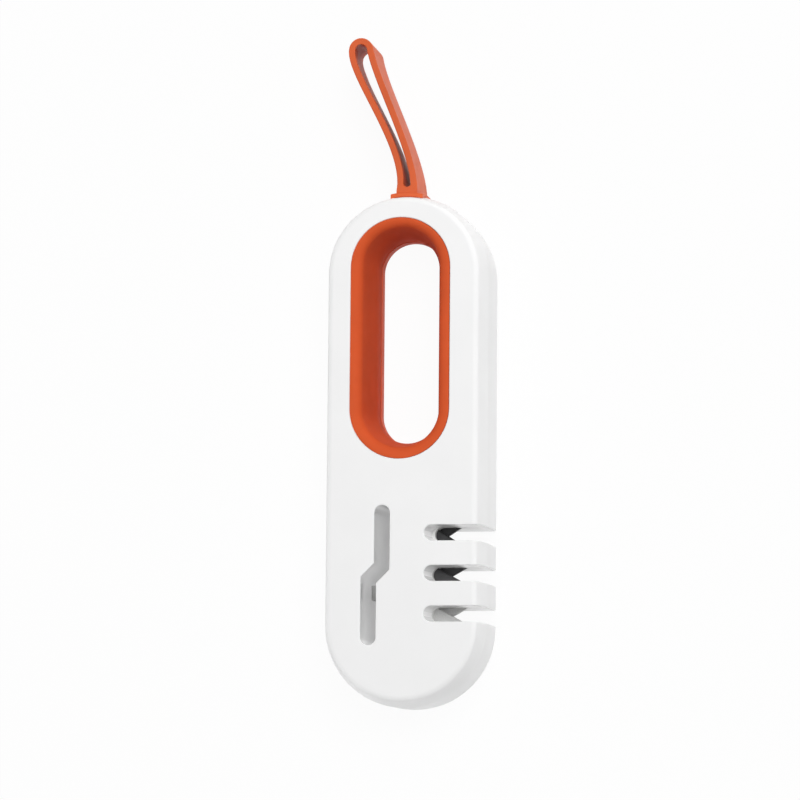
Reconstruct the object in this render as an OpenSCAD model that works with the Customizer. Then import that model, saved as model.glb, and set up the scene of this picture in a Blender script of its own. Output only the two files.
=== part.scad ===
/* [Body] */
// Length of the body over both round ends
body_len = 205; // [195:1:225]
// Width of the body
body_w = 65; // [64:0.5:70]
// Thickness from the back face to the front face
body_t = 38; // [37:0.5:42]
// Height of the seam between the shells above the back face
seam_z = 25.4; // [25.2:0.1:26.4]
// Thickness of the moulded walls
wall = 2.2; // [1.8:0.1:2.5]
// Thickness of the walls that line the slots
slot_wall = 1.6; // [1.2:0.1:2]
// Radius of the rounded front edge
front_fillet = 2.5; // [1.5:0.1:3]
// Radius of the rounded back edge
back_fillet = 2; // [1:0.1:2.4]
// Draft angle of the front shell's side wall
front_draft = 11; // [8:0.5:12]

/* [Finger opening] */
// Radius of the round ends of the opening at the front face
grip_r = 19.9; // [18.5:0.1:20.4]
// Radius of the round ends of the neck behind the funnel
neck_r = 12.5; // [11:0.1:13.5]
// Distance between the centres of the opening's round ends
grip_span = 56.6; // [50:0.1:58]
// Distance of the opening's upper centre above the centre of the body's upper end
grip_rise = 2.2; // [1.6:0.1:3]
// Distance of the opening's centre line to the left of the body's
grip_shift = 1.2; // [0:0.1:1.4]
// Distance of the neck's upper centre above the funnel's
neck_rise = 1.9; // [0:0.1:2.4]
// Height above the back face at which the funnel ends in the straight neck
funnel_z = 26.5; // [24:0.5:29]
// Height above the back face at which the two liners meet
neck_z = 8; // [6.5:0.1:10]
// Radius of the rounded rim at the back face
back_lip = 3; // [2.4:0.1:3.4]
// Wall of the liner
liner_t = 1.8; // [1.4:0.1:2.2]

/* [Knife slots] */
// Height of each slot
slot_h = 6.3; // [5.6:0.1:6.8]
// Distance from one slot to the next
slot_pitch = 16; // [15:0.1:17]
// Distance of the first slot above the centre of the lower round end
slot_top_y = 36.2; // [35:0.1:37.5]
// Place of the slots' closed end, right of the centre line, at the faces
slot_end_x = 9.1; // [8:0.1:9.6]
// Slope of the slots' closed end
slot_draft = 6; // [4:0.5:6.5]
// Length of the full tip of each finger between the slots
finger_tip = 4.9; // [4.4:0.1:5.5]

/* [Sharpening plates] */
// Width of a plate
plate_w = 6.5; // [6:0.1:7]
// Thickness of a plate
plate_t = 3; // [2.4:0.1:3.6]
// Length of a plate past the crossing, towards the open side
plate_lead = 8; // [7.4:0.1:9]
// Length of a plate past the crossing, towards the closed end
plate_tail = 11; // [10:0.1:12]
// Bevel on the edges of a metal plate
plate_bevel = 0.4; // [0.1:0.1:0.7]

/* [Bent slot] */
// Width of the bent slot
bent_w = 6.2; // [6:0.1:7]
// Distance of its upper run to the left of the centre line
bent_upper_x = 7.7; // [7.2:0.1:8]
// Distance of its lower run to the left of the centre line
bent_lower_x = 13; // [12.5:0.1:13.4]
// Height of the centre of its upper end
bent_top_y = 44.1; // [40:0.1:46]
// Height at which its slope starts
bent_knee_y = 22.9; // [22:0.1:24]
// Distance of the centre of its lower end below the body's lower centre
bent_bottom_drop = 5.1; // [3:0.1:8]

/* [Scissor insert] */
// Height of the insert along the slot
insert_h = 6; // [5:0.1:7]
// Thickness of the insert
insert_t = 5; // [3.5:0.1:5.2]
// How far the insert stands out into the slot
insert_reach = 4.1; // [3:0.1:4.4]
// Length of the insert in its holder
insert_seat = 3.6; // [3:0.1:4.4]

/* [Hanging strap] */
// Length of the strap above the body
strap_len = 64.2; // [55:0.1:80]
// How far its eye leans to the left
strap_lean = 19.3; // [10:0.1:26]
// Depth of the strap band
strap_depth = 24.6; // [20:0.1:26]
// Thickness of each leg
strap_t = 2.25; // [1.8:0.05:2.8]
// Radius of the eye at the middle of the leg
eye_r = 3.85; // [3.4:0.05:6]
// Width of the neck over both legs
neck_w = 8.45; // [7.4:0.05:10]
// Width of the flange on the body
flange_w = 13; // [12:0.1:15]
// Thickness of the flange
flange_t = 1.8; // [1.2:0.1:2.4]

/* [Fasteners] */
// Radius of the thread of the shell screws
screw_r = 1.4; // [1.2:0.05:1.5]
// Radius of the head of the shell screws
screw_head_r = 2.5; // [2.2:0.05:2.6]
// Thickness of the screw heads
screw_head_t = 1.8; // [1.4:0.1:2.2]
// Length of the thread of the shell screws
screw_len = 18; // [15:0.5:19]
// Radius of the thread of the holder screws
small_screw_r = 1; // [0.8:0.05:1.1]
// Radius of the head of the holder screws
small_head_r = 1.9; // [1.6:0.05:2]

/* [Hidden] */
$fn = 96;

shell_white = [0.95, 0.95, 0.95];
liner_orange = [0.86, 0.30, 0.12];
holder_white = [0.88, 0.88, 0.87];
carbide_black = [0.13, 0.13, 0.14];
diamond_grey = [0.27, 0.27, 0.28];
ceramic_grey = [0.72, 0.72, 0.70];
screw_steel = [0.62, 0.62, 0.63];

// Clearance of pieces that fit into each other, and of those that lie face to face
fit_gap = 0.1;
// How far every cut runs past the face that it opens
overrun = 2 * wall;

// Body
end_r = body_w / 2;
upper_y = body_len - body_w;
tongue_t = 0.9;
tongue_h = 1.5;

// Finger opening
grip_top_y = upper_y + grip_rise;
grip_low_y = grip_top_y - grip_span;
neck_low_rise = 0.4;
neck_top_y = grip_top_y + neck_rise;
neck_low_y = grip_low_y + neck_low_rise;
neck_span = neck_top_y - neck_low_y;
back_grip_r = neck_r + back_lip;
liner_hook = 1.4;
liner_hook_t = 1.4;
liner_steps = 14;

// Sharpening stages, from the first slot to the third
stage_ys = [slot_top_y, slot_top_y - slot_pitch, slot_top_y - 2 * slot_pitch];
coarse_notch_x = 11.5;
fine_notch_x = 10.6;
stage_notch_xs = [coarse_notch_x, fine_notch_x, fine_notch_x];
coarse_cross_x = 16;
medium_cross_x = 17.6;
fine_cross_x = 18;
coarse_angle = 33;
fine_angle = 29;

// Holder block
holder_z = 13;
holder_top = seam_z - fit_gap;
split_z = (holder_z + seam_z) / 2 - fit_gap;
holder_x0 = 0.4;
holder_x1 = end_r - finger_tip - fit_gap;
holder_margin = 8.6;
holder_y0 = stage_ys[2] - holder_margin;
holder_y1 = stage_ys[0] + holder_margin;
holder_corner = 3;
small_screw_x = 3.6;
small_screw_ys = [slot_top_y - slot_pitch / 2, slot_top_y - 1.5 * slot_pitch];
small_screw_len = 7;
small_head_t = 1.4;

// Bent slot
knee_rise = bent_w / 2 * tan(22.5);
bent_step = bent_lower_x - bent_upper_x;
bent_low_y = bent_knee_y - bent_step;

// Scissor insert
insert_face_x = -bent_lower_x + bent_w / 2;
insert_y = bent_low_y - knee_rise - insert_h / 2 - 2 * fit_gap;
insert_z = seam_z - 2 * fit_gap - insert_t;
insert_nose = 0.8;
block_x0 = insert_face_x + slot_wall + fit_gap;
block_x1 = -1.4;
block_low = 5;
block_high = 3.6;
pedestal_inset = 1;

// Strap
strap_x = 0.05;
strap_z = (body_t - strap_depth) / 2;
strap_steps = 22;
eye_steps = 16;
left_eye_angle = -15;
right_eye_angle = 10;
left_eye_handle_share = 0.157;
right_eye_handle_share = 0.205;
left_neck_handle_shares = [0.153, 0.283];
right_neck_handle_shares = [-0.014, 0.248];
neck_h = 3;
flange_lip = 0.5;
anchor_w = 15;
anchor_h = 5.6;
anchor_drop = 3.6;
anchor_rise = 1.6;
shelf_t = 2.2;
cheek_t = 1.6;
body_top = upper_y + end_r;
anchor_top = body_top - anchor_drop;

// Shell screws, as distances from the centre line and heights
screw_x_high = 26.9;
screw_rise_high = 9;
screw_x_mid = 23.5;
screw_y_mid = 54.5;
screw_x_low = 17.5;
screw_drop_low = 19;
screw_places = [
    for (s = [-1, 1])
        for (p = [
            [screw_x_high, upper_y - screw_rise_high],
            [screw_x_mid, screw_y_mid],
            [screw_x_low, -screw_drop_low]
        ])
            [s * p[0], p[1]]
];
screw_seat = 14;
boss_wall = 1.3;
pillar_wall = 1.4;
slot_in_head = 0.7;
head_recess = 0.9;

// Plan of a slot with two round ends, from the origin to a point above it
module stadium(r, len) {
    circle(r);
    translate([0, len]) circle(r);
    translate([-r, 0]) square([2 * r, len]);
}

// Solid that a half section sweeps round a stadium
module swept(len) {
    rotate([0, 0, 180]) rotate_extrude(angle = 180) children();
    translate([0, len, 0]) rotate_extrude(angle = 180) children();
    for (s = [0, 1])
        mirror([s, 0, 0])
            translate([0, len, 0]) rotate([90, 0, 0]) linear_extrude(height = len) children();
}

// Half section of the front shell's outside
module front_section() {
    zc = body_t - front_fillet;
    rim = front_fillet * sin(front_draft);
    xw = end_r - (zc + rim - seam_z) * tan(front_draft);
    xc = xw - front_fillet * cos(front_draft);
    polygon([[0, seam_z], [end_r, seam_z], [xw, zc + rim], [xc, zc], [xc, body_t], [0, body_t]]);
    translate([xc, zc]) circle(front_fillet);
}

// Half section of the front shell's hollow
module front_hollow_section() {
    top = body_t - wall;
    x0 = end_r - wall;
    x1 = x0 - (top - seam_z) * tan(front_draft);
    polygon([[0, seam_z - overrun], [x0, seam_z - overrun], [x0, seam_z], [x1, top], [0, top]]);
}

// Half section of the rear shell's outside
module rear_section() {
    xc = end_r - back_fillet;
    polygon([[0, 0], [xc, 0], [xc, back_fillet], [end_r, back_fillet], [end_r, seam_z], [0, seam_z]]);
    translate([xc, back_fillet]) circle(back_fillet);
}

// Plan of one knife slot, open to the right
module slot_plan(h, x0) {
    translate([x0 + h / 2, 0]) circle(h / 2);
    translate([x0 + h / 2, -h / 2]) square([body_w, h]);
}

// Cut of one knife slot, whose closed end slopes inwards from a face
module slot_cut(face_z, slope) {
    translate([slot_end_x + slot_h / 2, 0, face_z])
        rotate([0, slope, 0])
            translate([-slot_end_x - slot_h / 2, 0, -2 * body_t])
                linear_extrude(height = 4 * body_t) slot_plan(slot_h, slot_end_x);
}

// Walls that line the three knife slots, between two heights
module slot_linings(z0, z1, x0) {
    for (y = stage_ys)
        translate([0, y, z0])
            linear_extrude(height = z1 - z0) slot_plan(slot_h + 2 * slot_wall, x0);
}

// Plan of the bent slot, made wider by a margin
module bent_plan(margin) {
    r = bent_w / 2 + margin;
    k = r * tan(22.5);
    translate([-bent_upper_x, bent_knee_y]) {
        translate([0, bent_top_y - bent_knee_y]) circle(r);
        translate([-r, k]) square([2 * r, bent_top_y - bent_knee_y - k]);
    }
    translate([-bent_lower_x, -bent_bottom_drop]) {
        circle(r);
        translate([-r, 0]) square([2 * r, bent_low_y + bent_bottom_drop - k]);
    }
    polygon([
        [-bent_upper_x - r, bent_knee_y + k], [-bent_upper_x + r, bent_knee_y + k],
        [-bent_upper_x + r, bent_knee_y - k], [-bent_lower_x + r, bent_low_y - k],
        [-bent_lower_x - r, bent_low_y - k], [-bent_lower_x - r, bent_low_y + k]
    ]);
}

// Column with the plan of the finger opening at the front face
module grip_column(r, z0, z1) {
    translate([-grip_shift, grip_low_y, z0])
        linear_extrude(height = z1 - z0) stadium(r, grip_span);
}

// Column with the plan of the opening's neck, which the back face shares
module neck_column(r, z0, z1) {
    translate([-grip_shift, neck_low_y, z0])
        linear_extrude(height = z1 - z0) stadium(r, neck_span);
}

// Cut through the top wall for the strap's stem
module strap_notch() {
    translate([strap_x - neck_w / 2 - fit_gap, anchor_top - wall, strap_z - fit_gap])
        cube([neck_w + 2 * fit_gap, wall + 2 * anchor_drop, strap_depth + 2 * fit_gap]);
}

module front_shell() color(shell_white) difference() {
    union() {
        difference() {
            swept(upper_y) front_section();
            swept(upper_y) front_hollow_section();
        }
        intersection() {
            swept(upper_y) front_section();
            union() {
                slot_linings(seam_z, body_t, slot_end_x - slot_wall);
                translate([0, 0, seam_z])
                    linear_extrude(height = body_t - seam_z) bent_plan(slot_wall);
                for (p = screw_places)
                    translate([p[0], p[1], seam_z])
                        cylinder(r = screw_r + pillar_wall, h = body_t - seam_z - wall / 2);
            }
        }
    }
    grip_column(grip_r + fit_gap, seam_z - overrun, body_t + overrun);
    for (y = stage_ys)
        translate([0, y, 0]) slot_cut(body_t, -slot_draft);
    translate([0, 0, -overrun]) linear_extrude(height = body_t + 2 * overrun) bent_plan(0);
    for (p = screw_places)
        translate([p[0], p[1], 0])
            cylinder(r = screw_r + fit_gap / 2, h = screw_seat + screw_len + 2 * fit_gap);
    translate([0, 0, seam_z - overrun])
        linear_extrude(height = overrun + tongue_h + fit_gap) difference() {
            stadium(end_r - wall + tongue_t + fit_gap, upper_y);
            stadium(end_r - wall - fit_gap, upper_y);
            for (y = stage_ys)
                translate([0, y]) slot_plan(slot_h + 2 * slot_wall, slot_end_x);
        }
    strap_notch();
}

module rear_shell() color(shell_white) difference() {
    union() {
        difference() {
            swept(upper_y) rear_section();
            translate([0, 0, wall])
                linear_extrude(height = body_t) stadium(end_r - wall, upper_y);
        }
        rear_tongue();
        intersection() {
            swept(upper_y) rear_section();
            union() {
                slot_linings(0, holder_z, slot_end_x - slot_wall);
                slot_linings(0, seam_z, end_r - finger_tip);
                linear_extrude(height = seam_z) bent_plan(slot_wall);
                for (p = screw_places)
                    translate([p[0], p[1], 0])
                        cylinder(r = screw_head_r + fit_gap + boss_wall, h = seam_z);
                scissor_pedestal();
                strap_cage();
            }
        }
    }
    neck_column(back_grip_r + fit_gap, -overrun, wall + overrun);
    for (y = stage_ys)
        translate([0, y, 0]) slot_cut(0, slot_draft);
    translate([0, 0, -overrun]) linear_extrude(height = body_t + 2 * overrun) bent_plan(0);
    for (p = screw_places)
        translate([p[0], p[1], -overrun]) {
            cylinder(r = screw_head_r + 2 * fit_gap, h = overrun + screw_seat);
            cylinder(r = screw_r + fit_gap, h = body_t + overrun);
        }
    insert_window();
    strap_notch();
}

// Tongue on the rear shell that centres the front shell
module rear_tongue() {
    translate([0, 0, seam_z - wall]) linear_extrude(height = wall + tongue_h) difference() {
        stadium(end_r - wall + tongue_t, upper_y);
        stadium(end_r - wall, upper_y);
        for (y = stage_ys)
            translate([0, y]) slot_plan(slot_h + 2 * slot_wall + 2 * fit_gap, slot_end_x);
    }
}

// Window in the bent slot's lining for the scissor insert
module insert_window() {
    translate([insert_face_x - fit_gap, insert_y - insert_h / 2 - fit_gap, insert_z - fit_gap])
        cube([slot_wall + insert_seat + 2 * fit_gap, insert_h + 2 * fit_gap, body_t]);
}

// Cage in the rear shell that traps the strap's anchor bar
module strap_cage() {
    half = anchor_w / 2 + fit_gap + cheek_t;
    low = anchor_top - anchor_h - fit_gap - shelf_t;
    difference() {
        translate([strap_x - half, low, wall / 2])
            cube([2 * half, body_top - low, seam_z - wall / 2]);
        translate([strap_x - half + cheek_t, low + shelf_t, wall])
            cube([2 * half - 2 * cheek_t, body_top - wall - low - shelf_t, body_t]);
        neck_column(back_grip_r + liner_hook + 2 * fit_gap, 0, wall + liner_hook_t + 2 * fit_gap);
    }
}

// Quarter ellipse that opens from a throat to a mouth
function flare(throat_r, mouth_r, throat_z, mouth_z) = [
    for (i = [0 : liner_steps])
        let (u = 90 * i / liner_steps)
        [mouth_r - (mouth_r - throat_r) * cos(u), throat_z + (mouth_z - throat_z) * sin(u)]
];

// Half section of a solid that fills a flare and the neck down to a height
module flare_section(throat_r, mouth_r, throat_z, mouth_z, neck_end, mouth_end)
    polygon(concat(
        [[0, neck_end], [throat_r, neck_end]],
        flare(throat_r, mouth_r, throat_z, mouth_z),
        [[mouth_r, mouth_end], [0, mouth_end]]
    ));

module grip_liner_front() color(liner_orange) difference() {
    union() {
        translate([-grip_shift, grip_low_y, 0]) swept(grip_span) {
            flare_section(neck_r + liner_t, grip_r, funnel_z, body_t - liner_t, neck_z, body_t);
            translate([0, body_t - wall - fit_gap - liner_hook_t])
                square([grip_r + liner_hook, liner_hook_t]);
        }
        neck_column(neck_r + liner_t, neck_z, body_t - wall);
    }
    translate([-grip_shift, grip_low_y, 0]) swept(grip_span)
        flare_section(neck_r, grip_r, funnel_z, body_t, neck_z - overrun, body_t + overrun);
    neck_column(neck_r, neck_z - overrun, body_t + overrun);
}

module grip_liner_rear() color(liner_orange)
    translate([-grip_shift, neck_low_y, 0]) swept(neck_span) difference() {
        union() {
            flare_section(neck_r + liner_t, back_grip_r, back_lip, liner_t, neck_z, 0);
            translate([0, wall + fit_gap]) square([back_grip_r + liner_hook, liner_hook_t]);
        }
        flare_section(neck_r, back_grip_r, back_lip, 0, neck_z + overrun, -overrun);
    }

// Point on a cubic curve with four control points
function curve(p, t) =
    pow(1 - t, 3) * p[0] + 3 * pow(1 - t, 2) * t * p[1]
    + 3 * (1 - t) * pow(t, 2) * p[2] + pow(t, 3) * p[3];

// Points beside a path, at a distance to its left
function beside(path, d) = [
    for (i = [0 : len(path) - 1])
        let (
            a = path[max(i - 1, 0)],
            b = path[min(i + 1, len(path) - 1)],
            v = (b - a) / norm(b - a)
        )
        path[i] + d * [-v[1], v[0]]
];

eye_centre = [strap_x - strap_lean, body_top + strap_len - eye_r - strap_t / 2];
left_foot = [strap_x - neck_w / 2 + strap_t / 2, body_top + flange_t];
right_foot = [strap_x + neck_w / 2 - strap_t / 2, body_top + flange_t];
left_join = eye_centre - eye_r * [cos(left_eye_angle), sin(left_eye_angle)];
right_join = eye_centre + eye_r * [cos(right_eye_angle), sin(right_eye_angle)];
left_curve = [
    left_foot,
    left_foot + [left_neck_handle_shares[0] * strap_lean, left_neck_handle_shares[1] * strap_len],
    left_join + left_eye_handle_share * strap_len * [sin(left_eye_angle), -cos(left_eye_angle)],
    left_join
];
right_curve = [
    right_join,
    right_join + right_eye_handle_share * strap_len * [sin(right_eye_angle), -cos(right_eye_angle)],
    right_foot + [right_neck_handle_shares[0] * strap_lean, right_neck_handle_shares[1] * strap_len],
    right_foot
];
strap_path = concat(
    [[left_foot[0], body_top]],
    [for (i = [0 : strap_steps - 1]) curve(left_curve, i / strap_steps)],
    [for (i = [0 : eye_steps])
        let (u = 180 + left_eye_angle - (180 + left_eye_angle - right_eye_angle) * i / eye_steps)
        eye_centre + eye_r * [cos(u), sin(u)]],
    [for (i = [1 : strap_steps]) curve(right_curve, i / strap_steps)],
    [[right_foot[0], body_top]]
);

// Half section of the flange, which lies on the body and follows its draft
module flange_section() {
    low = strap_z - flange_lip;
    high = strap_z + strap_depth + flange_lip;
    inner = end_r + fit_gap;
    set_back = (high - seam_z) * tan(front_draft);
    polygon([
        [inner, low], [inner + flange_t, low], [inner + flange_t, seam_z],
        [inner + flange_t - set_back, high], [inner - set_back, high], [inner, seam_z]
    ]);
}

// Plan of the band, from its foot round the eye and back
module strap_band() {
    left_side = beside(strap_path, strap_t / 2);
    right_side = beside(strap_path, -strap_t / 2);
    polygon(concat(left_side, [for (i = [len(right_side) - 1 : -1 : 0]) right_side[i]]));
}

// Plan of the stem and of the web between the feet, whose slit has a round bottom
module strap_neck() {
    low = anchor_top - anchor_h / 2;
    top = body_top + flange_t + neck_h;
    translate([strap_x - neck_w / 2, low]) square([neck_w, body_top + flange_t - low]);
    difference() {
        translate([left_foot[0], body_top]) square([neck_w - strap_t, top - body_top]);
        translate([strap_x, top]) circle(neck_w / 2 - strap_t);
    }
}

module hanging_strap() color(liner_orange) {
    translate([0, 0, strap_z]) {
        linear_extrude(height = strap_depth) {
            strap_band();
            strap_neck();
        }
        translate([strap_x - anchor_w / 2, anchor_top - anchor_h, 0])
            cube([anchor_w, anchor_h, seam_z + anchor_rise - strap_z]);
    }
    intersection() {
        translate([0, upper_y, 0]) rotate_extrude(angle = 180) flange_section();
        translate([strap_x - flange_w / 2, upper_y, 0]) cube([flange_w, body_w, body_t]);
    }
}

// Plan of the holder block with its three slots
module holder_plan() {
    w = holder_x1 - holder_x0;
    h = holder_y1 - holder_y0;
    c = holder_corner;
    difference() {
        translate([holder_x0, holder_y0]) union() {
            translate([c, 0]) square([w - c, h]);
            translate([0, c]) square([w, h - 2 * c]);
            for (y = [c, h - c])
                translate([c, y]) circle(c);
        }
        for (i = [0 : 2])
            translate([0, stage_ys[i]]) slot_plan(slot_h, stage_notch_xs[i]);
    }
}

// One sharpening plate, whose upper edge passes through the crossing, with a margin
module plate_blank(margin, bevel) {
    b = bevel;
    w = plate_w + margin;
    t = plate_t + margin;
    translate([-plate_tail - margin, 0, 0])
        rotate([90, 0, 90])
            linear_extrude(height = plate_tail + plate_lead + 2 * margin)
                polygon([
                    [-w, b], [-w + b, 0], [margin - b, 0], [margin, b],
                    [margin, t - b], [margin - b, t], [-w + b, t], [-w, t - b]
                ]);
}

module near_plate(stage, cross_x, angle, margin, bevel)
    translate([cross_x, stage_ys[stage], split_z + fit_gap / 2])
        rotate([0, 0, -angle]) plate_blank(margin, bevel);

module far_plate(stage, cross_x, angle, margin, bevel)
    translate([cross_x, stage_ys[stage], split_z - fit_gap / 2])
        mirror([0, 0, 1]) mirror([0, 1, 0]) rotate([0, 0, -angle]) plate_blank(margin, bevel);

module near_pockets() {
    near_plate(0, coarse_cross_x, coarse_angle, fit_gap, 0);
    near_plate(1, medium_cross_x, fine_angle, fit_gap, 0);
    near_plate(2, fine_cross_x, fine_angle, fit_gap, 0);
}

module far_pockets() {
    far_plate(0, coarse_cross_x, coarse_angle, fit_gap, 0);
    far_plate(1, medium_cross_x, fine_angle, fit_gap, 0);
    far_plate(2, fine_cross_x, fine_angle, fit_gap, 0);
}

module holder_rear() color(holder_white) difference() {
    translate([0, 0, holder_z]) linear_extrude(height = split_z - holder_z) holder_plan();
    far_pockets();
    for (y = small_screw_ys)
        translate([small_screw_x, y, holder_z - overrun]) {
            cylinder(r = small_head_r + fit_gap, h = overrun + small_head_t);
            cylinder(r = small_screw_r + fit_gap, h = body_t);
        }
}

module holder_front() color(holder_white) difference() {
    translate([0, 0, split_z]) linear_extrude(height = holder_top - split_z) holder_plan();
    near_pockets();
    for (y = small_screw_ys)
        translate([small_screw_x, y, 0])
            cylinder(
                r = small_screw_r + fit_gap / 2,
                h = holder_z + small_head_t + small_screw_len + 2 * fit_gap
            );
}

module coarse_plate_near() color(carbide_black)
    near_plate(0, coarse_cross_x, coarse_angle, 0, plate_bevel);

module coarse_plate_far() color(carbide_black)
    far_plate(0, coarse_cross_x, coarse_angle, 0, plate_bevel);

module medium_plate_near() color(diamond_grey)
    near_plate(1, medium_cross_x, fine_angle, 0, plate_bevel);

module medium_plate_far() color(diamond_grey)
    far_plate(1, medium_cross_x, fine_angle, 0, plate_bevel);

module fine_plate_near() color(ceramic_grey)
    near_plate(2, fine_cross_x, fine_angle, 0, plate_bevel);

module fine_plate_far() color(ceramic_grey)
    far_plate(2, fine_cross_x, fine_angle, 0, plate_bevel);

module scissor_insert() color(ceramic_grey)
    translate([insert_face_x - insert_reach, insert_y - insert_h / 2, insert_z]) {
        translate([insert_nose, 0, 0])
            cube([insert_reach + slot_wall + insert_seat - insert_nose, insert_h, insert_t]);
        translate([insert_nose, 0, insert_nose])
            rotate([-90, 0, 0]) cylinder(r = insert_nose, h = insert_h);
        translate([insert_nose, 0, insert_t - insert_nose])
            rotate([-90, 0, 0]) cylinder(r = insert_nose, h = insert_h);
        translate([0, 0, insert_nose]) cube([insert_nose, insert_h, insert_t - 2 * insert_nose]);
    }

// Plan of the block behind the bent slot, made smaller by an inset
module block_plan(inset) {
    difference() {
        translate([block_x0 + inset, insert_y - block_low + inset])
            square([block_x1 - block_x0 - 2 * inset, block_low + insert_h / 2 + block_high - 2 * inset]);
        bent_plan(slot_wall + fit_gap);
    }
}

module scissor_holder() color(holder_white) difference() {
    translate([0, 0, holder_z]) linear_extrude(height = holder_top - holder_z) block_plan(0);
    translate([insert_face_x, insert_y - insert_h / 2 - fit_gap, insert_z - fit_gap])
        cube([slot_wall + insert_seat + fit_gap, insert_h + 2 * fit_gap, insert_t + 2 * fit_gap]);
}

module scissor_pedestal()
    linear_extrude(height = holder_z - fit_gap) block_plan(pedestal_inset);

// Screw that points up, with its head below the seat
module cross_screw(r, len, head_r, head_t) {
    cylinder(r = r, h = len);
    translate([0, 0, -head_t]) difference() {
        cylinder(r = head_r, h = head_t);
        for (a = [0, 90])
            rotate([0, 0, a])
                translate([-slot_in_head * head_r, -slot_in_head / 2 * r, -head_t])
                    cube([2 * slot_in_head * head_r, slot_in_head * r, head_t + head_recess * r]);
    }
}

module shell_screws() color(screw_steel)
    for (p = screw_places)
        translate([p[0], p[1], screw_seat])
            cross_screw(screw_r, screw_len, screw_head_r, screw_head_t);

module holder_screws() color(screw_steel)
    for (y = small_screw_ys)
        translate([small_screw_x, y, holder_z + small_head_t])
            cross_screw(small_screw_r, small_screw_len, small_head_r, small_head_t);

rear_shell();
front_shell();
grip_liner_front();
grip_liner_rear();
hanging_strap();
holder_rear();
holder_front();
coarse_plate_near();
coarse_plate_far();
medium_plate_near();
medium_plate_far();
fine_plate_near();
fine_plate_far();
scissor_insert();
scissor_holder();
shell_screws();
holder_screws();
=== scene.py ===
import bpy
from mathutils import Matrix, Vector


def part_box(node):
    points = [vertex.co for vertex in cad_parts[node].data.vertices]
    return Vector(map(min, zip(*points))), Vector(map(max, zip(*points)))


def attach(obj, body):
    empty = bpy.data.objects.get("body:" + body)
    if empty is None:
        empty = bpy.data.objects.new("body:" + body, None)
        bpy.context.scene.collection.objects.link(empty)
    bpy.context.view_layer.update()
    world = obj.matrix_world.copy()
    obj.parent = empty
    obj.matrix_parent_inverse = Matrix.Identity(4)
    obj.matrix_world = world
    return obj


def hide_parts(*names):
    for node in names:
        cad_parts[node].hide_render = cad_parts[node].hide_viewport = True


bl_info = {
    "name": "Pull Through Knife Sharpener",
    "version": (1, 0, 0),
    "blender": (4, 5, 0),
    "location": "View3D > Sidebar > Sharpener",
    "description": "Shells, opening, strap, plates and photo stage of a knife sharpener",
    "category": "Object",
}

from collections import namedtuple
from math import cos, hypot, pi, radians, sin, tan

import bmesh
import bpy
from bpy.props import FloatProperty, FloatVectorProperty, IntProperty, PointerProperty
from mathutils import Vector

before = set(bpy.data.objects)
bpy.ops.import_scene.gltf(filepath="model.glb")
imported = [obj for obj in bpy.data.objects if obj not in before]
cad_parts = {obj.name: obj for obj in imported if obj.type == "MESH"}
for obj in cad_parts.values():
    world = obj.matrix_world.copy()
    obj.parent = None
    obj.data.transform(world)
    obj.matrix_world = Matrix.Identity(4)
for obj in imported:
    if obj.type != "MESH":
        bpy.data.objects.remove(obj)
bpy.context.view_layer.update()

MM = 0.001
BODY = "root"

# Corners of a solid nearer than this are one corner, and bends below this are flat
WELD = 1e-6
FLAT = radians(0.4)
# Places nearer than this count as the same place
NEAR = 10 * WELD
# Edges that bend more than this are rounded, and shaded as sharp
CORNER = radians(30)
STRAP_CORNER = radians(40)
SHARP = radians(32)
# A face is a wall when its normal has less than this along Z
WALL_NORMAL_Z = 0.1
# An edge is upright when its direction has more than this along Z
UPRIGHT_Z = 0.9

# The outer skin of the shells, which tells their rims from the edges inside
FACE_DEPTH = 0.05 * MM
SEAM_REACH = 0.02 * MM
SKIN_DEPTH = 0.3 * MM
SIDE_DRAFT = radians(11.5)
FRONT_ROUND_HEIGHT = 2.6 * MM
FRONT_ROUND_INSET = 5.2 * MM
BACK_ROUND = 2.1 * MM

# The strap: where its soft edges and the draft of its slit begin, above the top of the body
STRAP_EDGE = 0.4 * MM
STRAP_EDGE_STEPS = 3
STRAP_ROOT = 1.5 * MM
SLIT_START = 8 * MM
SLIT_FADE = 6 * MM
EYE_FADE = 5 * MM

# Faces along the straight wall of the finger opening
WALL_STEPS = 8
# Steps of the opening's profile for each one of the rounding on the back face
BACK_STEP_SHARE = 4

# A direction along which no two faces or edges of a liner share a place
OBLIQUE = Vector((1, 0.61, 0.23))

# Depth of the relief of moulded pieces and of ground ones
MOULD_RELIEF = 0.02 * MM
GRIT_RELIEF = 0.04 * MM
# Values that a noise pattern mostly stays between
NOISE_LOW, NOISE_HIGH = 0.3, 0.7

# The floor lies this far under the part
FLOOR_GAP = 0.01 * MM
# The camera's sensor in millimetres, and the nearest and farthest it sees in metres
SENSOR_WIDTH = 36
VIEW_NEAR, VIEW_FAR = 0.05, 50


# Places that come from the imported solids

def low(node):
    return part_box(node)[0]


def high(node):
    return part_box(node)[1]


BODY_W = high("rear_shell").x - low("rear_shell").x
END_R = BODY_W / 2
UPPER_Y = high("front_shell").y - END_R
SEAM_Z = low("front_shell").z
FRONT_Z = high("front_shell").z
NECK_Z = high("grip_liner_rear").z


# Place and side of each lamp in metres. Its power is the stage setting of the same name.
LAMPS = {
    "key": ((0.5, 0.65, 1.9), 1.2),
    "top": ((0.1, 1.3, 0.55), 0.7),
    "right": ((1.2, 0.0, 0.2), 0.25),
    "upper_right": ((0.85, 0.95, 0.22), 0.3),
    "lower_right": ((0.85, -0.8, 0.22), 0.3),
    "lower_left": ((-0.85, -0.8, 0.16), 0.25),
    "left": ((-1.2, 0.1, 0.16), 0.25),
    "low": ((0.0, -1.25, 0.16), 0.25),
}


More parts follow.
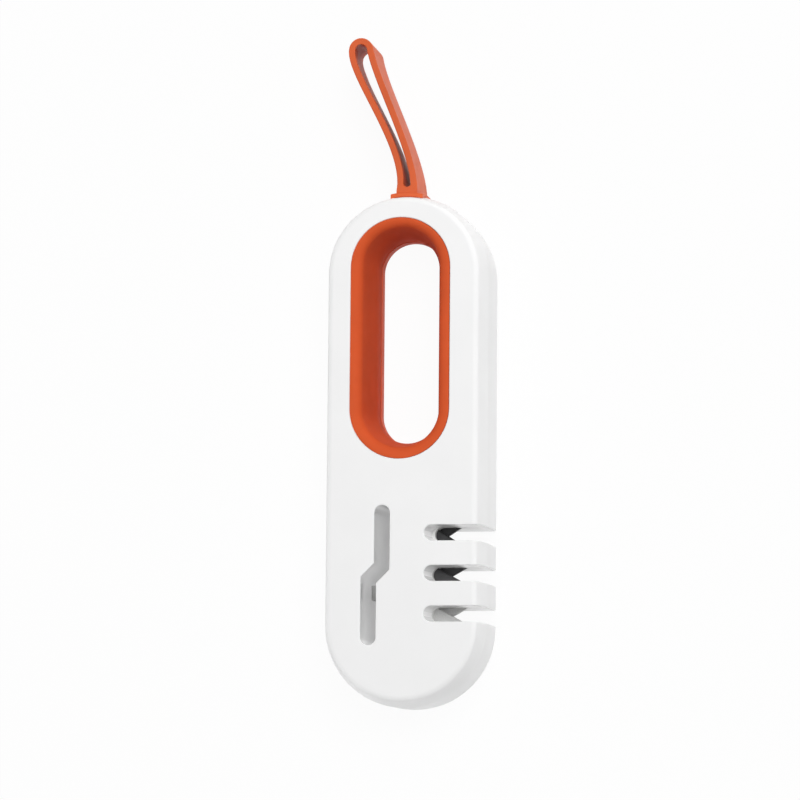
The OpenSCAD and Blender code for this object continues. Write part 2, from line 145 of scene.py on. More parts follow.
class SHARPENER_PG_shell(bpy.types.PropertyGroup):
    """Sizes and colours of the two shells and the holders"""

    rim: FloatProperty(
        name="Rim rounding", description="Rounding along the rims of the slots and openings",
        default=0.45 * MM, min=0.1 * MM, max=0.8 * MM, unit="LENGTH", precision=5,
    )
    holder_more: FloatProperty(
        name="Holder reach", description="How far the holder's right end reaches to meet the shell",
        default=1.28 * MM, min=0, max=1.28 * MM, unit="LENGTH", precision=5,
    )
    steps: IntProperty(
        name="Rim steps", description="Faces across each rounded rim", default=3, min=1, max=6,
    )
    colour: FloatVectorProperty(
        name="Shell colour", description="White moulded plastic of the shells",
        subtype="COLOR", size=3, min=0, max=1, default=(0.96, 0.96, 0.96),
    )
    holder_colour: FloatVectorProperty(
        name="Holder colour", description="White moulded plastic that holds the plates",
        subtype="COLOR", size=3, min=0, max=1, default=(0.86, 0.86, 0.85),
    )


class SHARPENER_PG_liner(bpy.types.PropertyGroup):
    """Sizes and colours of the opening's liners and the strap"""

    face_r: FloatProperty(
        name="Face radius", description="Radius of the opening's round ends at the front face",
        default=19.9 * MM, min=18 * MM, max=21 * MM, unit="LENGTH", precision=5,
    )
    neck_r: FloatProperty(
        name="Neck radius", description="Radius of the opening's round ends along its neck",
        default=12.5 * MM, min=11 * MM, max=14 * MM, unit="LENGTH", precision=5,
    )
    rim_r: FloatProperty(
        name="Rim rounding", description="Radius with which the opening's wall turns into the face",
        default=4.6 * MM, min=3 * MM, max=6 * MM, unit="LENGTH", precision=5,
    )
    draft: FloatProperty(
        name="Wall draft", description="Lean of the opening's wall between its rim and its neck",
        default=radians(10), min=radians(6), max=radians(14), subtype="ANGLE",
    )
    lip: FloatProperty(
        name="Back lip", description="Rounding of the opening's rim on the back face",
        default=3 * MM, min=2 * MM, max=3.6 * MM, unit="LENGTH", precision=5,
    )
    wall: FloatProperty(
        name="Liner wall", description="Wall of the liner",
        default=1.8 * MM, min=1.2 * MM, max=2.4 * MM, unit="LENGTH", precision=5,
    )
    seat: FloatProperty(
        name="Seat", description="How deep behind a face the liner's hook starts",
        default=2.3 * MM, min=2 * MM, max=3 * MM, unit="LENGTH", precision=5,
    )
    joint: FloatProperty(
        name="Joint bevel", description="Bevel that leaves a fine dark line between the two liners",
        default=0.7 * MM, min=0.2 * MM, max=1.2 * MM, unit="LENGTH", precision=5,
    )
    hook: FloatProperty(
        name="Hook", description="How far the liner's flange reaches behind the shell's face",
        default=1.4 * MM, min=0.8 * MM, max=2 * MM, unit="LENGTH", precision=5,
    )
    eye_in: FloatProperty(
        name="Eye inset", description="Distance of the eye's centre from the strap's left and top",
        default=5 * MM, min=4 * MM, max=6 * MM, unit="LENGTH", precision=5,
    )
    leg_more: FloatProperty(
        name="Leg swell", description="How much the strap's legs swell into the slit",
        default=0.35 * MM, min=0, max=0.6 * MM, unit="LENGTH", precision=5,
    )
    slit_open: FloatProperty(
        name="Slit opening", description="How much the slit widens on each side towards the back",
        default=0.75 * MM, min=0, max=1.5 * MM, unit="LENGTH", precision=5,
    )
    eye_open: FloatProperty(
        name="Eye opening", description="How much the eye widens towards the back",
        default=1.3 * MM, min=0, max=1.5 * MM, unit="LENGTH", precision=5,
    )
    steps: IntProperty(
        name="Profile steps", description="Faces from the neck to the front face",
        default=32, min=12, max=64,
    )
    segments: IntProperty(
        name="Segments", description="Sides of the opening's outline, which is twice an odd number",
        default=126, min=50, max=254,
    )
    colour: FloatVectorProperty(
        name="Liner colour", description="Soft orange moulded rubber",
        subtype="COLOR", size=3, min=0, max=1, default=(0.70, 0.098, 0.022),
    )
    # The strap's colour is the liner's orange made paler in green and blue: a painted sheen on the
    # strap, not a different rubber
    strap_colour_with_painted_sheen: FloatVectorProperty(
        name="Strap colour", description="Soft orange moulded rubber of the strap",
        subtype="COLOR", size=3, min=0, max=1, default=(0.70, 0.126, 0.040),
    )


class SHARPENER_PG_plates(bpy.types.PropertyGroup):
    """Edges and colours of the sharpening plates and the screws"""

    edge: FloatProperty(
        name="Edge rounding", description="Rounding along the edges of the plates",
        default=0.12 * MM, min=0.02 * MM, max=0.4 * MM, unit="LENGTH", precision=5,
    )
    carbide: FloatVectorProperty(
        name="Carbide", description="Near black sintered metal of the first slot",
        subtype="COLOR", size=3, min=0, max=1, default=(0.018, 0.018, 0.019),
    )
    diamond: FloatVectorProperty(
        name="Diamond steel", description="Dark grit coated steel of the second slot",
        subtype="COLOR", size=3, min=0, max=1, default=(0.056, 0.056, 0.058),
    )
    ceramic: FloatVectorProperty(
        name="Ceramic", description="Pale grey ceramic of the third slot",
        subtype="COLOR", size=3, min=0, max=1, default=(0.68, 0.68, 0.675),
    )
    insert: FloatVectorProperty(
        name="Insert ceramic", description="Grey ceramic of the scissor insert",
        subtype="COLOR", size=3, min=0, max=1, default=(0.33, 0.33, 0.325),
    )
    screw: FloatVectorProperty(
        name="Screw steel", description="Plain steel of the screws",
        subtype="COLOR", size=3, min=0, max=1, default=(0.56, 0.56, 0.57),
    )


class SHARPENER_PG_stage(bpy.types.PropertyGroup):
    """Floor, light and camera of the photo stage"""

    floor_size: FloatProperty(
        name="Floor size", description="Length of a side of the floor",
        default=6.0, min=1.0, max=20.0, unit="LENGTH",
    )
    floor_colour: FloatVectorProperty(
        name="Floor colour", description="Pale floor under the sharpener",
        subtype="COLOR", size=3, min=0, max=1, default=(0.86, 0.86, 0.86),
    )
    floor_glow: FloatProperty(
        name="Floor glow", description="Share of plain white that the camera sees on the floor",
        default=0.95, min=0, max=1, subtype="FACTOR",
    )
    sky: FloatProperty(
        name="Sky light", description="Strength of the even light all round",
        default=0.15, min=0, max=2,
    )
    key: FloatProperty(
        name="Key light", description="Power of the large soft lamp above the object",
        default=31.0, min=0, max=100, subtype="POWER",
    )
    top: FloatProperty(
        name="Top light", description="Power of the soft lamp past the strap",
        default=1.8, min=0, max=100, subtype="POWER",
    )
    right: FloatProperty(
        name="Right light", description="Power of the low lamp on the right",
        default=1.6, min=0, max=100, subtype="POWER",
    )
    upper_right: FloatProperty(
        name="Upper right light", description="Power of the low lamp on the upper right",
        default=0.2, min=0, max=100, subtype="POWER",
    )
    lower_right: FloatProperty(
        name="Lower right light", description="Power of the low lamp on the lower right",
        default=0.35, min=0, max=100, subtype="POWER",
    )
    lower_left: FloatProperty(
        name="Lower left light", description="Power of the low lamp on the lower left",
        default=2.5, min=0, max=100, subtype="POWER",
    )
    left: FloatProperty(
        name="Left light", description="Power of the low lamp on the left",
        default=2.0, min=0, max=100, subtype="POWER",
    )
    low: FloatProperty(
        name="Low light", description="Power of the low lamp past the round lower end",
        default=1.8, min=0, max=100, subtype="POWER",
    )
    camera_at: FloatVectorProperty(
        name="Camera place", description="Place of the camera",
        subtype="TRANSLATION", size=3, default=(0.26777, -0.08112, 1.54258), precision=5,
    )
    camera_turn: FloatVectorProperty(
        name="Camera turn", description="Turn of the camera",
        subtype="EULER", size=3, default=(0.11228, 0.175692, 0.008663), precision=6,
    )
    lens: FloatProperty(
        name="Lens", description="Focal length of the camera in millimetres on a 36 mm sensor",
        default=174.577, min=20, max=400,
    )


# Materials

def node_material(name):
    """A new material with its node tree, its shader and the object's own coordinates."""
    mat = bpy.data.materials.new(name)
    mat.use_nodes = True
    tree = mat.node_tree
    tree.nodes.clear()
    out = tree.nodes.new("ShaderNodeOutputMaterial")
    shader = tree.nodes.new("ShaderNodeBsdfPrincipled")
    tree.links.new(shader.outputs["BSDF"], out.inputs["Surface"])
    place = tree.nodes.new("ShaderNodeTexCoord").outputs["Object"]
    return mat, tree, shader, place


def noise(tree, place, scale, detail=2.0, rough=0.5):
    """A noise pattern over the object's own coordinates, with features 1 / scale metres wide."""
    node = tree.nodes.new("ShaderNodeTexNoise")
    node.inputs["Scale"].default_value = scale
    node.inputs["Detail"].default_value = detail
    node.inputs["Roughness"].default_value = rough
    tree.links.new(place, node.inputs["Vector"])
    return node.outputs["Fac"]


def ramp(tree, factor, stops):
    """A colour ramp through (place, colour) stops."""
    node = tree.nodes.new("ShaderNodeValToRGB")
    ends = node.color_ramp.elements
    for i, (at, colour) in enumerate(stops):
        end = ends[i] if i < len(ends) else ends.new(at)
        end.position = at
        end.color = (*colour, 1)
    tree.links.new(factor, node.inputs["Fac"])
    return node.outputs["Color"]


def spread(tree, factor, lowest, highest):
    """A noise pattern spread over another range."""
    node = tree.nodes.new("ShaderNodeMapRange")
    node.inputs["From Min"].default_value = NOISE_LOW
    node.inputs["From Max"].default_value = NOISE_HIGH
    node.inputs["To Min"].default_value = lowest
    node.inputs["To Max"].default_value = highest
    tree.links.new(factor, node.inputs["Value"])
    return node.outputs["Result"]


def bump(tree, shader, height, strength, depth):
    """Surface relief of a given depth in metres."""
    node = tree.nodes.new("ShaderNodeBump")
    node.inputs["Strength"].default_value = strength
    node.inputs["Distance"].default_value = depth
    tree.links.new(height, node.inputs["Height"])
    tree.links.new(node.outputs["Normal"], shader.inputs["Normal"])


def shade(colour, factor):
    """A colour made lighter or darker by a factor."""
    return tuple(min(1.0, c * factor) for c in colour)


def moulded_plastic(name, colour, rough_low, rough_high, relief):
    """Moulded plastic: faint clouding, uneven gloss and the fine spark texture of its mould."""
    mat, tree, shader, place = node_material(name)
    cloud = noise(tree, place, scale=45, detail=3)
    stops = [(NOISE_LOW, shade(colour, 0.985)), (NOISE_HIGH, shade(colour, 1.01))]
    tree.links.new(ramp(tree, cloud, stops), shader.inputs["Base Color"])
    uneven = noise(tree, place, scale=160, detail=4)
    tree.links.new(spread(tree, uneven, rough_low, rough_high), shader.inputs["Roughness"])
    texture = noise(tree, place, scale=4200, rough=0.6)
    bump(tree, shader, texture, relief, MOULD_RELIEF)
    shader.inputs["IOR"].default_value = 1.46
    return mat


def soft_rubber(name, colour, rough_low, rough_high, shine):
    """Soft touch rubber: faint clouding, uneven gloss and a powdery grain."""
    mat, tree, shader, place = node_material(name)
    cloud = noise(tree, place, scale=70, detail=3)
    stops = [(NOISE_LOW, shade(colour, 0.94)), (NOISE_HIGH, shade(colour, 1.05))]
    tree.links.new(ramp(tree, cloud, stops), shader.inputs["Base Color"])
    uneven = noise(tree, place, scale=220, detail=4)
    tree.links.new(spread(tree, uneven, rough_low, rough_high), shader.inputs["Roughness"])
    grain = noise(tree, place, scale=5200, detail=3, rough=0.6)
    bump(tree, shader, grain, 0.25, MOULD_RELIEF)
    shader.inputs["IOR"].default_value = 1.42
    shader.inputs["Specular IOR Level"].default_value = shine
    return mat


def ground_plate(name, colour, grain, relief, metallic, rough_low, rough_high):
    """Sharpening plate: a gritty ground surface of a given grain size in metres."""
    mat, tree, shader, place = node_material(name)
    speck = noise(tree, place, scale=1 / grain, detail=3, rough=0.7)
    stops = [(0.25, shade(colour, 0.72)), (0.55, colour), (0.8, shade(colour, 1.6))]
    tree.links.new(ramp(tree, speck, stops), shader.inputs["Base Color"])
    tree.links.new(spread(tree, speck, rough_low, rough_high), shader.inputs["Roughness"])
    bump(tree, shader, speck, relief, GRIT_RELIEF)
    shader.inputs["Metallic"].default_value = metallic
    return mat


def screw_metal(name, colour):
    """Screw steel with fine turning marks."""
    mat, tree, shader, place = node_material(name)
    marks = tree.nodes.new("ShaderNodeTexWave")
    marks.wave_type = "BANDS"
    marks.bands_direction = "Z"
    marks.inputs["Scale"].default_value = 900
    marks.inputs["Distortion"].default_value = 1.5
    tree.links.new(place, marks.inputs["Vector"])
    stops = [(0, shade(colour, 0.85)), (1, shade(colour, 1.08))]
    tree.links.new(ramp(tree, marks.outputs["Fac"], stops), shader.inputs["Base Color"])
    uneven = noise(tree, place, scale=1500)
    tree.links.new(spread(tree, uneven, 0.24, 0.38), shader.inputs["Roughness"])
    bump(tree, shader, marks.outputs["Fac"], 0.2, MOULD_RELIEF)
    shader.inputs["Metallic"].default_value = 1
    return mat


# Meshes

def new_piece(name, bm, node, mat):
    """Turns a bmesh into a piece that stands for a CAD node and rides on the body."""
    mesh = bpy.data.meshes.new(name)
    bm.to_mesh(mesh)
    bm.free()
    piece = bpy.data.objects.new(name, mesh)
    bpy.context.scene.collection.objects.link(piece)
    mesh.materials.append(mat)
    mesh.shade_smooth()
    mesh.set_sharp_from_angle(angle=SHARP)
    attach(piece, BODY)
    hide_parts(node)
    return piece


def solid_of(node):
    """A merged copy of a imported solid, whose flat faces are whole again."""
    bm = bmesh.new()
    bm.from_mesh(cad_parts[node].data)
    bmesh.ops.remove_doubles(bm, verts=bm.verts, dist=WELD)
    bmesh.ops.dissolve_limit(
        bm, angle_limit=FLAT, use_dissolve_boundaries=False, verts=bm.verts, edges=bm.edges,
    )
    return bm


def round_edges(bm, width, steps, wanted=lambda edge: True, corner=CORNER):
    """Rounds the edges that bend more than a corner and that a test picks."""
    sharp = [
        e for e in bm.edges
        if len(e.link_faces) == 2 and e.calc_face_angle(0) > corner and wanted(e)
    ]
    bmesh.ops.bevel(
        bm, geom=sharp, offset=width, offset_type="OFFSET", segments=steps, profile=0.5,
        affect="EDGES", clamp_overlap=False, material=-1, loop_slide=True,
    )


def weighted(piece):
    """Keeps large flat faces flat beside their rounded rims."""
    finish = piece.modifiers.new("Flat faces", "WEIGHTED_NORMAL")
    finish.mode = "FACE_AREA_WITH_ANGLE"
    finish.weight = 80
    finish.keep_sharp = True


def axis_distance(point):
    """Distance of a point from the line between the centres of the body's round ends."""
    return hypot(point.x, point.y - min(max(point.y, 0), UPPER_Y))


def on_outside(point):
    """Whether a point lies on the outer skin of the body."""
    if point.z > FRONT_Z - FACE_DEPTH or point.z < FACE_DEPTH:
        return True
    inset = max(0.0, point.z - SEAM_Z) * tan(SIDE_DRAFT) + SKIN_DEPTH
    if point.z > FRONT_Z - FRONT_ROUND_HEIGHT:
        inset = FRONT_ROUND_INSET
    if point.z < BACK_ROUND:
        inset = BACK_ROUND
    return axis_distance(point) > END_R - inset


def outer_rim(edge):
    """Whether an edge is a rim on the outer skin, apart from the seam."""
    ends = [v.co for v in edge.verts]
    if all(abs(end.z - SEAM_Z) < SEAM_REACH for end in ends):
        return False
    return all(on_outside(end) for end in ends)


def inner_wall(face):
    """Whether a face is a wall inside an opening of the body."""
    return abs(face.normal.z) < WALL_NORMAL_Z and not on_outside(face.calc_center_median())


class SHARPENER_OT_shells(bpy.types.Operator):
    """Make the white front and rear shells with rounded rims"""

    bl_idname = "sharpener.shells"
    bl_label = "Shells"

    def execute(self, context):
        look = context.scene.sharpener_shell
        satin = moulded_plastic(
            "white_shell_plastic", look.colour, rough_low=0.52, rough_high=0.6, relief=0.12,
        )
        polished = moulded_plastic(
            "white_slot_plastic", look.colour, rough_low=0.16, rough_high=0.22, relief=0.05,
        )
        for node in ("front_shell", "rear_shell"):
            bm = solid_of(node)
            round_edges(bm, look.rim, look.steps, outer_rim)
            for face in bm.faces:
                face.material_index = int(inner_wall(face))
            piece = new_piece(node + "_skin", bm, node, satin)
            piece.data.materials.append(polished)
            weighted(piece)
        return {"FINISHED"}


# One outline of an opening: a stadium with the radius of its round ends, the Y of their
# centres, and its height
Ring = namedtuple("Ring", "radius low_y high_y z")


def stadium(bm, ring, centre_x, segments):
    """The first ring of an opening: a circle whose halves move apart to a stadium."""
    verts = bmesh.ops.create_circle(bm, segments=segments, radius=ring.radius)["verts"]
    upper = [v for v in verts if v.co.y > 0]
    lower = [v for v in verts if v.co.y < 0]
    for half, end_y in ((upper, ring.high_y), (lower, ring.low_y)):
        bmesh.ops.translate(bm, verts=half, vec=(centre_x, end_y, ring.z))
    return list(bm.edges)


def next_ring(bm, edges, old, ring, centre_x):
    """Extrudes the edges of one ring to another."""
    grown = bmesh.ops.extrude_edge_only(bm, edges=edges)["geom"]
    verts = [g for g in grown if isinstance(g, bmesh.types.BMVert)]
    middle = (old.low_y + old.high_y) / 2
    scale = ring.radius / old.radius
    lower = [v for v in verts if v.co.y < middle]
    upper = [v for v in verts if v.co.y > middle]
    for half, old_y, end_y in ((lower, old.low_y, ring.low_y), (upper, old.high_y, ring.high_y)):
        bmesh.ops.translate(bm, verts=half, vec=(-centre_x, -old_y, -old.z))
        bmesh.ops.scale(bm, verts=half, vec=(scale, scale, 1))
        bmesh.ops.translate(bm, verts=half, vec=(centre_x, end_y, ring.z))
    return [g for g in grown if isinstance(g, bmesh.types.BMEdge)]


def between(start, end, out, along):
    """A ring between two rings: a share of the way out in plan and a share along in height."""
    plan = [a + (b - a) * out for a, b in zip(start[:3], end[:3])]
    return Ring(*plan, start.z + (end.z - start.z) * along)


def opening_ends(node, radius):
    """Centres of the lower and upper round end of a liner, whose hook ends at a radius."""
    lo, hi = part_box(node)
    return lo.y + radius, hi.y - radius


def put_in_order(bm):
    """Gives the edges and faces the same order in each run, which an extrusion doesn't."""
    bm.edges.sort(key=lambda e: (e.verts[0].co + e.verts[1].co).dot(OBLIQUE))
    bm.faces.sort(key=lambda f: f.calc_center_median().dot(OBLIQUE))


def mouth_rings(look, neck, face):
    """The rings from the neck to the front face: a wall with draft, then the rounded rim."""
    rim = [
        (look.face_r - look.rim_r * sin(u), FRONT_Z - look.rim_r * (1 - cos(u)))
        for u in ((pi / 2 - look.draft) * i / look.steps for i in range(look.steps, 0, -1))
    ]
    wall_r, wall_z = rim[0]
    throat_z = wall_z - (wall_r - look.neck_r) / tan(look.draft)
    out, rise = wall_r - look.neck_r, wall_z - throat_z
    line = [
        (look.neck_r + out * i / WALL_STEPS, throat_z + rise * i / WALL_STEPS)
        for i in range(WALL_STEPS)
    ]
    throat = Ring(look.neck_r, *neck, throat_z)
    mouth = Ring(look.face_r, *face, FRONT_Z)
    width, depth = look.face_r - look.neck_r, FRONT_Z - throat_z
    rings = [
        between(throat, mouth, (r - look.neck_r) / width, (z - throat_z) / depth)
        for r, z in line + rim
    ]
    return [*rings, mouth]


def front_liner_rings(look, neck, face):
    """The front liner's profile: its joint, the visible mouth, the hook and its hidden side."""
    wide = look.face_r + look.hook
    seat_z = FRONT_Z - look.seat
    under_z = FRONT_Z - (look.seat + look.hook)
    visible = mouth_rings(look, neck, face)
    return [
        Ring(look.neck_r + look.joint, *neck, NECK_Z),
        Ring(look.neck_r, *neck, NECK_Z + 2 * look.joint),
        *visible,
        Ring(look.face_r, *face, seat_z),
        Ring(wide, *face, seat_z),
        Ring(wide, *face, under_z),
        *(r._replace(radius=r.radius + look.wall) for r in reversed(visible) if r.z < under_z),
        Ring(look.neck_r + look.wall, *neck, NECK_Z),
    ]


def rear_liner_rings(look, neck):
    """The rear liner's profile: the neck, the rounded rim on the back, the hook."""
    lip_r = look.neck_r + look.lip
    wide = lip_r + look.hook
    shell_z = look.seat + look.hook
    neck_end = Ring(look.neck_r, *neck, look.lip)
    lip_end = Ring(lip_r, *neck, 0)
    steps = look.steps // BACK_STEP_SHARE
    turns = [pi / 2 * i / steps for i in range(steps + 1)]
    return [
        Ring(look.neck_r, *neck, NECK_Z),
        *(between(neck_end, lip_end, 1 - cos(u), sin(u)) for u in turns),
        Ring(lip_r, *neck, look.seat),
        Ring(wide, *neck, look.seat),
        Ring(wide, *neck, shell_z),
        Ring(look.neck_r + look.wall, *neck, shell_z),
        Ring(look.neck_r + look.wall, *neck, NECK_Z),
    ]


class SHARPENER_OT_liners(bpy.types.Operator):
    """Make the two orange liners of the finger opening"""

    bl_idname = "sharpener.liners"
    bl_label = "Finger opening liners"

    def execute(self, context):
        look = context.scene.sharpener_liner
        matt = soft_rubber(
            "orange_liner_rubber", look.colour, rough_low=0.8, rough_high=0.88, shine=0.42,
        )
        satin = soft_rubber(
            "orange_back_rubber", look.colour, rough_low=0.55, rough_high=0.65, shine=0.5,
        )
        neck = opening_ends("grip_liner_rear", look.neck_r + look.lip + look.hook)
        face = opening_ends("grip_liner_front", look.face_r + look.hook)
        for node, rings, mat in (
            ("grip_liner_front", front_liner_rings(look, neck, face), matt),
            ("grip_liner_rear", rear_liner_rings(look, neck), satin),
        ):
            centre_x = (low(node).x + high(node).x) / 2
            bm = bmesh.new()
            edges = stadium(bm, rings[0], centre_x, look.segments)
            for old, ring in zip(rings, rings[1:] + rings[:1]):
                edges = next_ring(bm, edges, old, ring, centre_x)
            bmesh.ops.remove_doubles(bm, verts=bm.verts, dist=NEAR)
            bmesh.ops.recalc_face_normals(bm, faces=bm.faces)
            put_in_order(bm)
            new_piece(node + "_skin", bm, node, mat)
        return {"FINISHED"}


def share_of(part, whole):
    """A part as a share of a whole, kept between 0 and 1."""
    return min(1.0, max(0.0, part / whole))


def slit_walls(bm, inside):
    """The walls round the strap's slit, from the wall nearest to a point inside the eye."""
    walls = {f for f in bm.faces if abs(f.normal.z) < WALL_NORMAL_Z}
    found = {min(walls, key=lambda f: (f.calc_center_median() - inside).length)}
    while True:
        more = {
            f for e in {e for w in found for e in w.edges}
            if abs((e.verts[0].co - e.verts[1].co).normalized().z) > UPRIGHT_Z
            for f in e.link_faces if f in walls and f not in found
        }
        if not more:
            return found
        found |= more


class SHARPENER_OT_strap(bpy.types.Operator):
    """Make the orange hanging strap with softened edges"""

    bl_idname = "sharpener.strap"
    bl_label = "Hanging strap"

    def execute(self, context):
        look = context.scene.sharpener_liner
        bm = solid_of("hanging_strap")
        top = UPPER_Y + END_R
        lo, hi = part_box("hanging_strap")
        middle_z = (lo.z + hi.z) / 2
        eye = Vector((lo.x + look.eye_in, hi.y - look.eye_in, middle_z))
        walls = slit_walls(bm, eye)
        into_slit = {
            v: sum((f.normal for f in v.link_faces if f in walls), Vector()).normalized()
            for v in {v for f in walls for v in f.verts}
        }
        for v, way in into_slit.items():
            v.co += way * look.leg_more
        for v, way in into_slit.items():
            if v.co.z < middle_z:
                eye_share = share_of(EYE_FADE - (eye.y - v.co.y), EYE_FADE)
                wide_open = look.slit_open + (look.eye_open - look.slit_open) * eye_share
                v.co -= way * wide_open * share_of(v.co.y - top - SLIT_START, SLIT_FADE)
        inner_corners = {
            v for e in bm.edges if e.calc_face_angle_signed(0) < -CORNER for v in e.verts
        }
        round_edges(
            bm, STRAP_EDGE, STRAP_EDGE_STEPS,
            lambda e: all(v.co.y > top - STRAP_ROOT and v not in inner_corners for v in e.verts),
            corner=STRAP_CORNER,
        )
        # Its base colour holds a painted sheen: the same rubber as the liners, made paler
        mat = soft_rubber(
            "orange_strap_rubber", look.strap_colour_with_painted_sheen, rough_low=0.42, rough_high=0.5, shine=0.15,
        )
        weighted(new_piece("hanging_strap_skin", bm, "hanging_strap", mat))
        return {"FINISHED"}


class SHARPENER_OT_holders(bpy.types.Operator):
    """Make the white holders of the plates and of the scissor insert"""

    bl_idname = "sharpener.holders"
    bl_label = "Plate holders"

    def execute(self, context):
        look = context.scene.sharpener_shell
        mat = moulded_plastic(
            "white_holder_plastic", look.holder_colour,
            rough_low=0.18, rough_high=0.24, relief=0.08,
        )
        for node in ("holder_front", "holder_rear", "scissor_holder"):
            bm = solid_of(node)
            if node != "scissor_holder":
                end_x = high(node).x
                for v in bm.verts:
                    if v.co.x > end_x - NEAR:
                        v.co.x += look.holder_more
            new_piece(node + "_block", bm, node, mat)
        return {"FINISHED"}


class SHARPENER_OT_plates(bpy.types.Operator):
    """Make the three crossed pairs of sharpening plates and the scissor insert"""

    bl_idname = "sharpener.plates"
    bl_label = "Sharpening plates"

    def execute(self, context):
        look = context.scene.sharpener_plates
        carbide = ground_plate(
            "black_carbide", look.carbide, grain=0.25 * MM, relief=0.15, metallic=0.2,
            rough_low=0.4, rough_high=0.55,
        )
        diamond = ground_plate(
            "diamond_steel", look.diamond, grain=0.16 * MM, relief=0.5, metallic=0.2,
            rough_low=0.5, rough_high=0.65,
        )
        ceramic = ground_plate(
            "grey_ceramic", look.ceramic, grain=0.2 * MM, relief=0.12, metallic=0.0,
            rough_low=0.4, rough_high=0.55,
        )
        insert = ground_plate(
            "dark_ceramic", look.insert, grain=0.2 * MM, relief=0.12, metallic=0.0,
            rough_low=0.4, rough_high=0.55,
        )
        finishes = {
            "coarse_plate_near": ("carbide", carbide), "coarse_plate_far": ("carbide", carbide),
            "medium_plate_near": ("diamond_steel", diamond),
            "medium_plate_far": ("diamond_steel", diamond),
            "fine_plate_near": ("ceramic", ceramic), "fine_plate_far": ("ceramic", ceramic),
            "scissor_insert": ("ceramic", insert),
        }
        for node, (slot, mat) in finishes.items():
            bm = solid_of(node)
            round_edges(bm, look.edge, steps=2)
            weighted(new_piece(node + "_ground", bm, node, mat))
        return {"FINISHED"}


class SHARPENER_OT_screws(bpy.types.Operator):
    """Make the screws of the shells and of the holders"""

    bl_idname = "sharpener.screws"
    bl_label = "Screws"

    def execute(self, context):
        look = context.scene.sharpener_plates
        mat = screw_metal("screw_steel", look.screw)
        for node in ("shell_screws", "holder_screws"):
            bm = solid_of(node)
            new_piece(node + "_turned", bm, node, mat)
        return {"FINISHED"}


def soft_lamp(name, place, target, side, power):
    """A large square area lamp that points at a place."""
    lamp = bpy.data.lights.new(name, "AREA")
    lamp.shape = "SQUARE"
    lamp.size = side
    lamp.energy = power
    thing = bpy.data.objects.new(name, lamp)
    bpy.context.scene.collection.objects.link(thing)
    thing.location = place
    thing.rotation_euler = (Vector(target) - thing.location).to_track_quat("-Z", "Y").to_euler()


def seen_directly(tree):
    """A factor of 1 for what the camera, a reflection or glass shows of the background."""
    path = tree.nodes.new("ShaderNodeLightPath")
    factor = path.outputs["Is Camera Ray"]
    for other in ("Is Glossy Ray", "Is Transmission Ray"):
        more = tree.nodes.new("ShaderNodeMath")
        more.operation = "MAXIMUM"
        tree.links.new(factor, more.inputs[0])
        tree.links.new(path.outputs[other], more.inputs[1])
        factor = more.outputs[0]
    return factor


def mixed(tree, factor, first, second):
    """A mix of two shaders."""
    node = tree.nodes.new("ShaderNodeMixShader")
    tree.links.new(factor, node.inputs["Fac"])
    tree.links.new(first, node.inputs[1])
    tree.links.new(second, node.inputs[2])
    return node.outputs[0]


def floor_material(look):
    """A matt floor that the camera sees as almost plain white, and that is clear from below."""
    mat = bpy.data.materials.new("pale_floor")
    mat.use_nodes = True
    tree = mat.node_tree
    tree.nodes.clear()
    out = tree.nodes.new("ShaderNodeOutputMaterial")
    matte = tree.nodes.new("ShaderNodeBsdfDiffuse")
    matte.inputs["Color"].default_value = (*look.floor_colour, 1)
    white = tree.nodes.new("ShaderNodeEmission")
    share = tree.nodes.new("ShaderNodeMath")
    share.operation = "MULTIPLY"
    share.inputs[1].default_value = look.floor_glow
    tree.links.new(seen_directly(tree), share.inputs[0])
    upper = mixed(tree, share.outputs[0], matte.outputs[0], white.outputs[0])
    clear = tree.nodes.new("ShaderNodeBsdfTransparent")
    side = tree.nodes.new("ShaderNodeNewGeometry")
    both = mixed(tree, side.outputs["Backfacing"], upper, clear.outputs[0])
    tree.links.new(both, out.inputs["Surface"])
    return mat


def studio_world(look):
    """A faint even sky, which the camera and reflections see as plain white."""
    world = bpy.data.worlds.new("studio")
    world.use_nodes = True
    tree = world.node_tree
    tree.nodes.clear()
    out = tree.nodes.new("ShaderNodeOutputWorld")
    even = tree.nodes.new("ShaderNodeBackground")
    even.inputs["Strength"].default_value = look.sky
    plain = tree.nodes.new("ShaderNodeBackground")
    for node in (even, plain):
        node.inputs["Color"].default_value = (1, 1, 1, 1)
    both = mixed(tree, seen_directly(tree), even.outputs[0], plain.outputs[0])
    tree.links.new(both, out.inputs["Surface"])
    return world


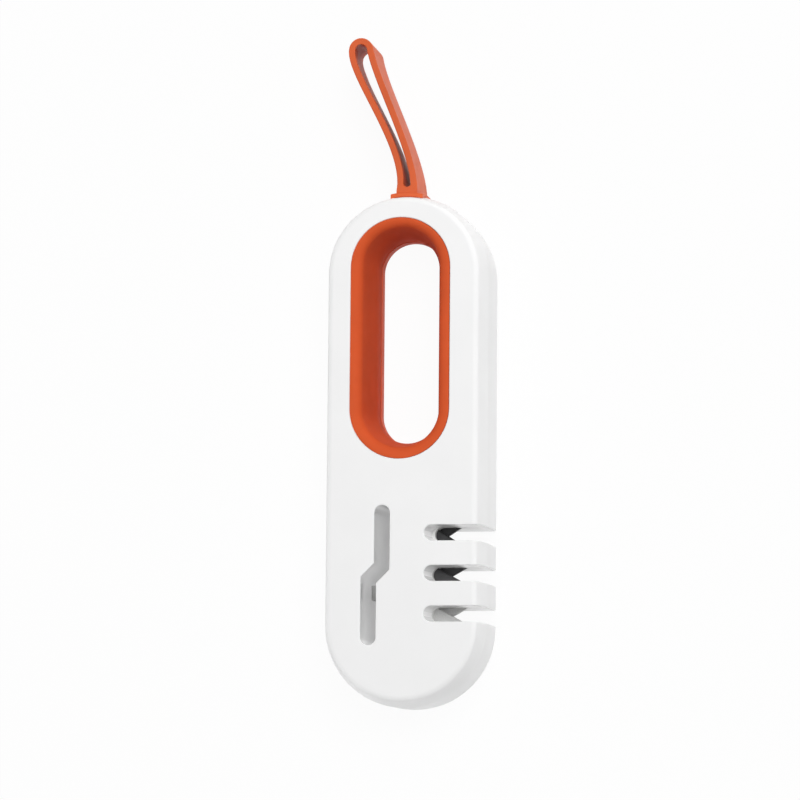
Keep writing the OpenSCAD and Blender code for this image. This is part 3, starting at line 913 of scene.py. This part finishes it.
class SHARPENER_OT_stage(bpy.types.Operator):
    """Make the pale floor, the soft light and the camera"""

    bl_idname = "sharpener.stage"
    bl_label = "Photo stage"

    def execute(self, context):
        look = context.scene.sharpener_stage
        scene = context.scene

        bm = bmesh.new()
        bmesh.ops.create_grid(bm, x_segments=1, y_segments=1, size=look.floor_size / 2)
        mesh = bpy.data.meshes.new("floor")
        bm.to_mesh(mesh)
        bm.free()
        floor = bpy.data.objects.new("floor", mesh)
        scene.collection.objects.link(floor)
        floor.location.z = -FLOOR_GAP
        mesh.materials.append(floor_material(look))

        scene.world = studio_world(look)
        middle = (0, UPPER_Y / 2, SEAM_Z)
        for name, (place, side) in LAMPS.items():
            soft_lamp(name + "_light", place, middle, side, getattr(look, name))

        eye = bpy.data.cameras.new("camera")
        eye.sensor_width = SENSOR_WIDTH
        eye.lens = look.lens
        eye.clip_start, eye.clip_end = VIEW_NEAR, VIEW_FAR
        camera = bpy.data.objects.new("camera", eye)
        scene.collection.objects.link(camera)
        camera.location = look.camera_at
        camera.rotation_euler = look.camera_turn
        scene.camera = camera
        scene.view_settings.view_transform = "Standard"
        return {"FINISHED"}


class SHARPENER_PT_panel(bpy.types.Panel):
    """Lists the steps that make the sharpener and their settings"""

    bl_idname = "SHARPENER_PT_panel"
    bl_label = "Knife Sharpener"
    bl_space_type = "VIEW_3D"
    bl_region_type = "UI"
    bl_category = "Sharpener"

    def draw(self, context):
        for step in STEPS:
            self.layout.operator(step.bl_idname)
        for name, group in SETTINGS.items():
            box = self.layout.box()
            for key in group.__annotations__:
                box.prop(getattr(context.scene, name), key)


SETTINGS = {
    "sharpener_shell": SHARPENER_PG_shell,
    "sharpener_liner": SHARPENER_PG_liner,
    "sharpener_plates": SHARPENER_PG_plates,
    "sharpener_stage": SHARPENER_PG_stage,
}
STEPS = [
    SHARPENER_OT_shells,
    SHARPENER_OT_liners,
    SHARPENER_OT_strap,
    SHARPENER_OT_holders,
    SHARPENER_OT_plates,
    SHARPENER_OT_screws,
    SHARPENER_OT_stage,
]


def register():
    for cls in [*SETTINGS.values(), *STEPS, SHARPENER_PT_panel]:
        bpy.utils.register_class(cls)
    for name, group in SETTINGS.items():
        setattr(bpy.types.Scene, name, PointerProperty(type=group))


def unregister():
    for name in SETTINGS:
        delattr(bpy.types.Scene, name)
    for cls in reversed([*SETTINGS.values(), *STEPS, SHARPENER_PT_panel]):
        bpy.utils.unregister_class(cls)


def main():
    register()
    bpy.ops.sharpener.shells()
    bpy.ops.sharpener.liners()
    bpy.ops.sharpener.strap()
    bpy.ops.sharpener.holders()
    bpy.ops.sharpener.plates()
    bpy.ops.sharpener.screws()
    bpy.ops.sharpener.stage()


if __name__ == "__main__":
    main()
